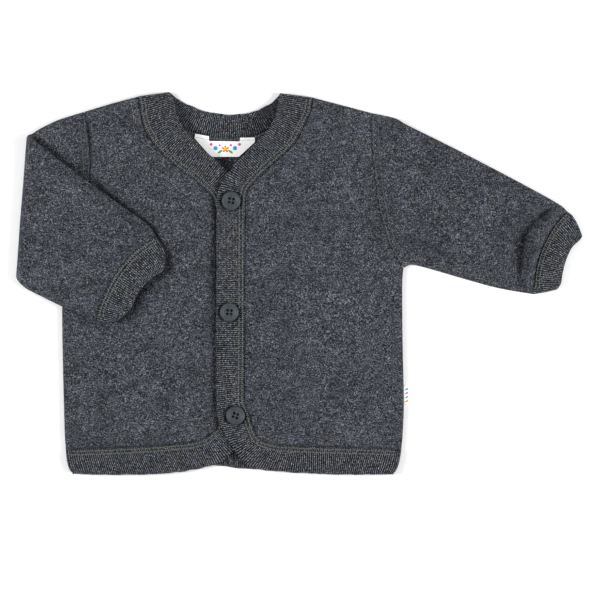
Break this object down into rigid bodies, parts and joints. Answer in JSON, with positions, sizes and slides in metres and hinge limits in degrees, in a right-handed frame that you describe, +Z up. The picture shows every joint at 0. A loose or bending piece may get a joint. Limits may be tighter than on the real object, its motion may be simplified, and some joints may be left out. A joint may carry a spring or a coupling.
{
  "type": "fleece jacket",
  "caption": "Baby's collarless wool fleece jacket with ribbed binding and a buttoned front, lying flat on its back with one sleeve folded over the chest.",
  "frame": {"origin": "on the surface that the jacket lies on, under the middle of the laid jacket's bounding box", "axes": "+Z up from the surface, out of the front of the jacket; +Y from the hem to the neck; +X towards the wearer's left sleeve"},
  "size_m": [0.4249, 0.2872, 0.0099],
  "materials": {
    "wool_fleece": "felted melange wool fleece, charcoal grey, matt",
    "wool_rib": "melange wool rib knit, charcoal grey, matt, fine vertical ribs",
    "button_plastic": "moulded slate grey, satin",
    "woven_label": "white woven ribbon, satin weave"
  },
  "bodies": {
    "root": {"back": "wool_fleece", "front_left": "wool_fleece", "front_right": "wool_fleece", "sleeve_left": "wool_fleece", "sleeve_right": "wool_fleece", "neck_band_back": "wool_rib", "neck_band_left": "wool_rib", "neck_band_right": "wool_rib", "front_band_left": "wool_rib", "front_band_right": "wool_rib", "hem_band_back": "wool_rib", "hem_band_left": "wool_rib", "hem_band_right": "wool_rib", "cuff_left": "wool_rib", "cuff_right": "wool_rib", "button_top": "button_plastic", "button_middle": "button_plastic", "button_bottom": "button_plastic", "neck_label": "woven_label", "side_tab": "woven_label"}
  },
  "joints": []
}
